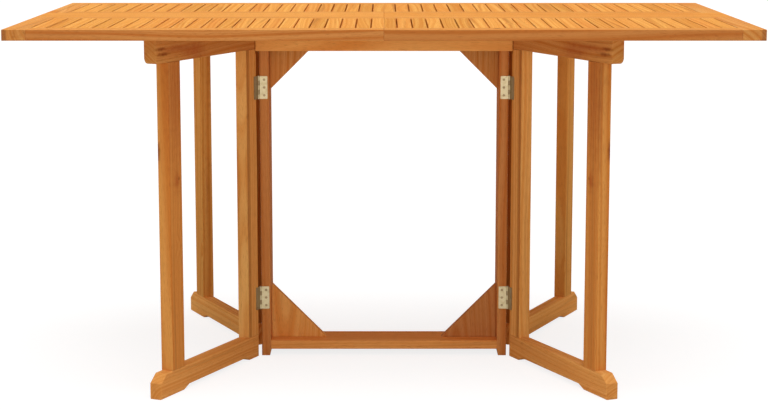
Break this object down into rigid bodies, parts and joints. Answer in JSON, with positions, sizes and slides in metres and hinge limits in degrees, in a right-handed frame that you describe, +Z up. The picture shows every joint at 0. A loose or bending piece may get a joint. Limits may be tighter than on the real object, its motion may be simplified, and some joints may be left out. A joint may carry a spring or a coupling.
{
  "type": "butterfly folding table",
  "caption": "Free-standing wooden table whose hinged gates swing out from a narrow middle frame to hold up slatted flaps.",
  "frame": {"origin": "on the floor under the middle of the table", "axes": "+X along the table's length, +Y across it towards the back, +Z up"},
  "size_m": [1.5, 0.9, 0.75],
  "materials": {
    "tabletop_wood": "oiled hardwood, honey orange, satin",
    "slat_wood": "oiled hardwood, honey orange with paler and redder slats, satin",
    "gate_wood": "oiled hardwood, honey brown, satin",
    "frame_wood": "oiled hardwood, honey brown, satin",
    "hinge_metal": "pale brass-plated sheet, satin",
    "screw_steel": "plated steel, satin"
  },
  "bodies": {
    "base": {"frame_stile_left": "frame_wood", "frame_stile_right": "frame_wood", "bottom_stretcher": "frame_wood", "top_stretcher": "frame_wood", "corner_brace_lower_left": "frame_wood", "corner_brace_lower_right": "frame_wood", "corner_brace_upper_left": "frame_wood", "corner_brace_upper_right": "frame_wood", "apron_front": "frame_wood", "apron_back": "frame_wood", "strip_board_back_left": "tabletop_wood", "strip_board_back_right": "tabletop_wood", "strip_board_front_left": "tabletop_wood", "strip_board_front_right": "tabletop_wood", "strip_bearers": "frame_wood", "gate_hinge_fixed_plates": "hinge_metal", "gate_hinge_pins": "screw_steel", "flap_hinge_fixed_plates": "hinge_metal", "flap_hinge_pins": "screw_steel", "base_screws": "screw_steel"},
    "back_left_gate": {"back_left_gate_top_rail": "gate_wood", "back_left_gate_foot_rail": "gate_wood", "back_left_gate_inner_stile": "gate_wood", "back_left_gate_outer_leg": "gate_wood", "back_left_gate_hinge_plates": "hinge_metal"},
    "back_right_gate": {"back_right_gate_top_rail": "gate_wood", "back_right_gate_foot_rail": "gate_wood", "back_right_gate_inner_stile": "gate_wood", "back_right_gate_outer_leg": "gate_wood", "back_right_gate_hinge_plates": "hinge_metal"},
    "front_left_gate": {"front_left_gate_top_rail": "gate_wood", "front_left_gate_foot_rail": "gate_wood", "front_left_gate_inner_stile": "gate_wood", "front_left_gate_outer_leg": "gate_wood", "front_left_gate_hinge_plates": "hinge_metal"},
    "front_right_gate": {"front_right_gate_top_rail": "gate_wood", "front_right_gate_foot_rail": "gate_wood", "front_right_gate_inner_stile": "gate_wood", "front_right_gate_outer_leg": "gate_wood", "front_right_gate_hinge_plates": "hinge_metal"},
    "back_flap": {"back_flap_edge_rail_left": "tabletop_wood", "back_flap_edge_rail_right": "tabletop_wood", "back_flap_inner_rail_left": "tabletop_wood", "back_flap_inner_rail_right": "tabletop_wood", "back_flap_end_rail_left": "tabletop_wood", "back_flap_end_rail_right": "tabletop_wood", "back_flap_slats": "slat_wood", "back_flap_seam_splices": "frame_wood", "back_flap_stop_blocks": "frame_wood", "back_flap_hinge_plates": "hinge_metal"},
    "front_flap": {"front_flap_edge_rail_left": "tabletop_wood", "front_flap_edge_rail_right": "tabletop_wood", "front_flap_inner_rail_left": "tabletop_wood", "front_flap_inner_rail_right": "tabletop_wood", "front_flap_end_rail_left": "tabletop_wood", "front_flap_end_rail_right": "tabletop_wood", "front_flap_slats": "slat_wood", "front_flap_seam_splices": "frame_wood", "front_flap_stop_blocks": "frame_wood", "front_flap_hinge_plates": "hinge_metal"}
  },
  "joints": [
    {"name": "back_left_gate_swing", "type": "hinge", "parent": "base", "child": "back_left_gate", "pos_m": [-0.272, 0.0505, 0.131], "axis": [0, 0, 1], "range_deg": [0, 65.5]},
    {"name": "back_right_gate_swing", "type": "hinge", "parent": "base", "child": "back_right_gate", "pos_m": [0.272, 0.0505, 0.131], "axis": [0, 0, -1], "range_deg": [0, 65.5]},
    {"name": "front_left_gate_swing", "type": "hinge", "parent": "base", "child": "front_left_gate", "pos_m": [-0.272, -0.0505, 0.131], "axis": [0, 0, -1], "range_deg": [0, 65.5]},
    {"name": "front_right_gate_swing", "type": "hinge", "parent": "base", "child": "front_right_gate", "pos_m": [0.272, -0.0505, 0.131], "axis": [0, 0, 1], "range_deg": [0, 65.5]},
    {"name": "back_flap_lift", "type": "hinge", "parent": "base", "child": "back_flap", "pos_m": [0, 0.0665, 0.7305], "axis": [1, 0, 0], "range_deg": [0, 8]},
    {"name": "front_flap_lift", "type": "hinge", "parent": "base", "child": "front_flap", "pos_m": [0, -0.0665, 0.7305], "axis": [-1, 0, 0], "range_deg": [0, 8]}
  ]
}
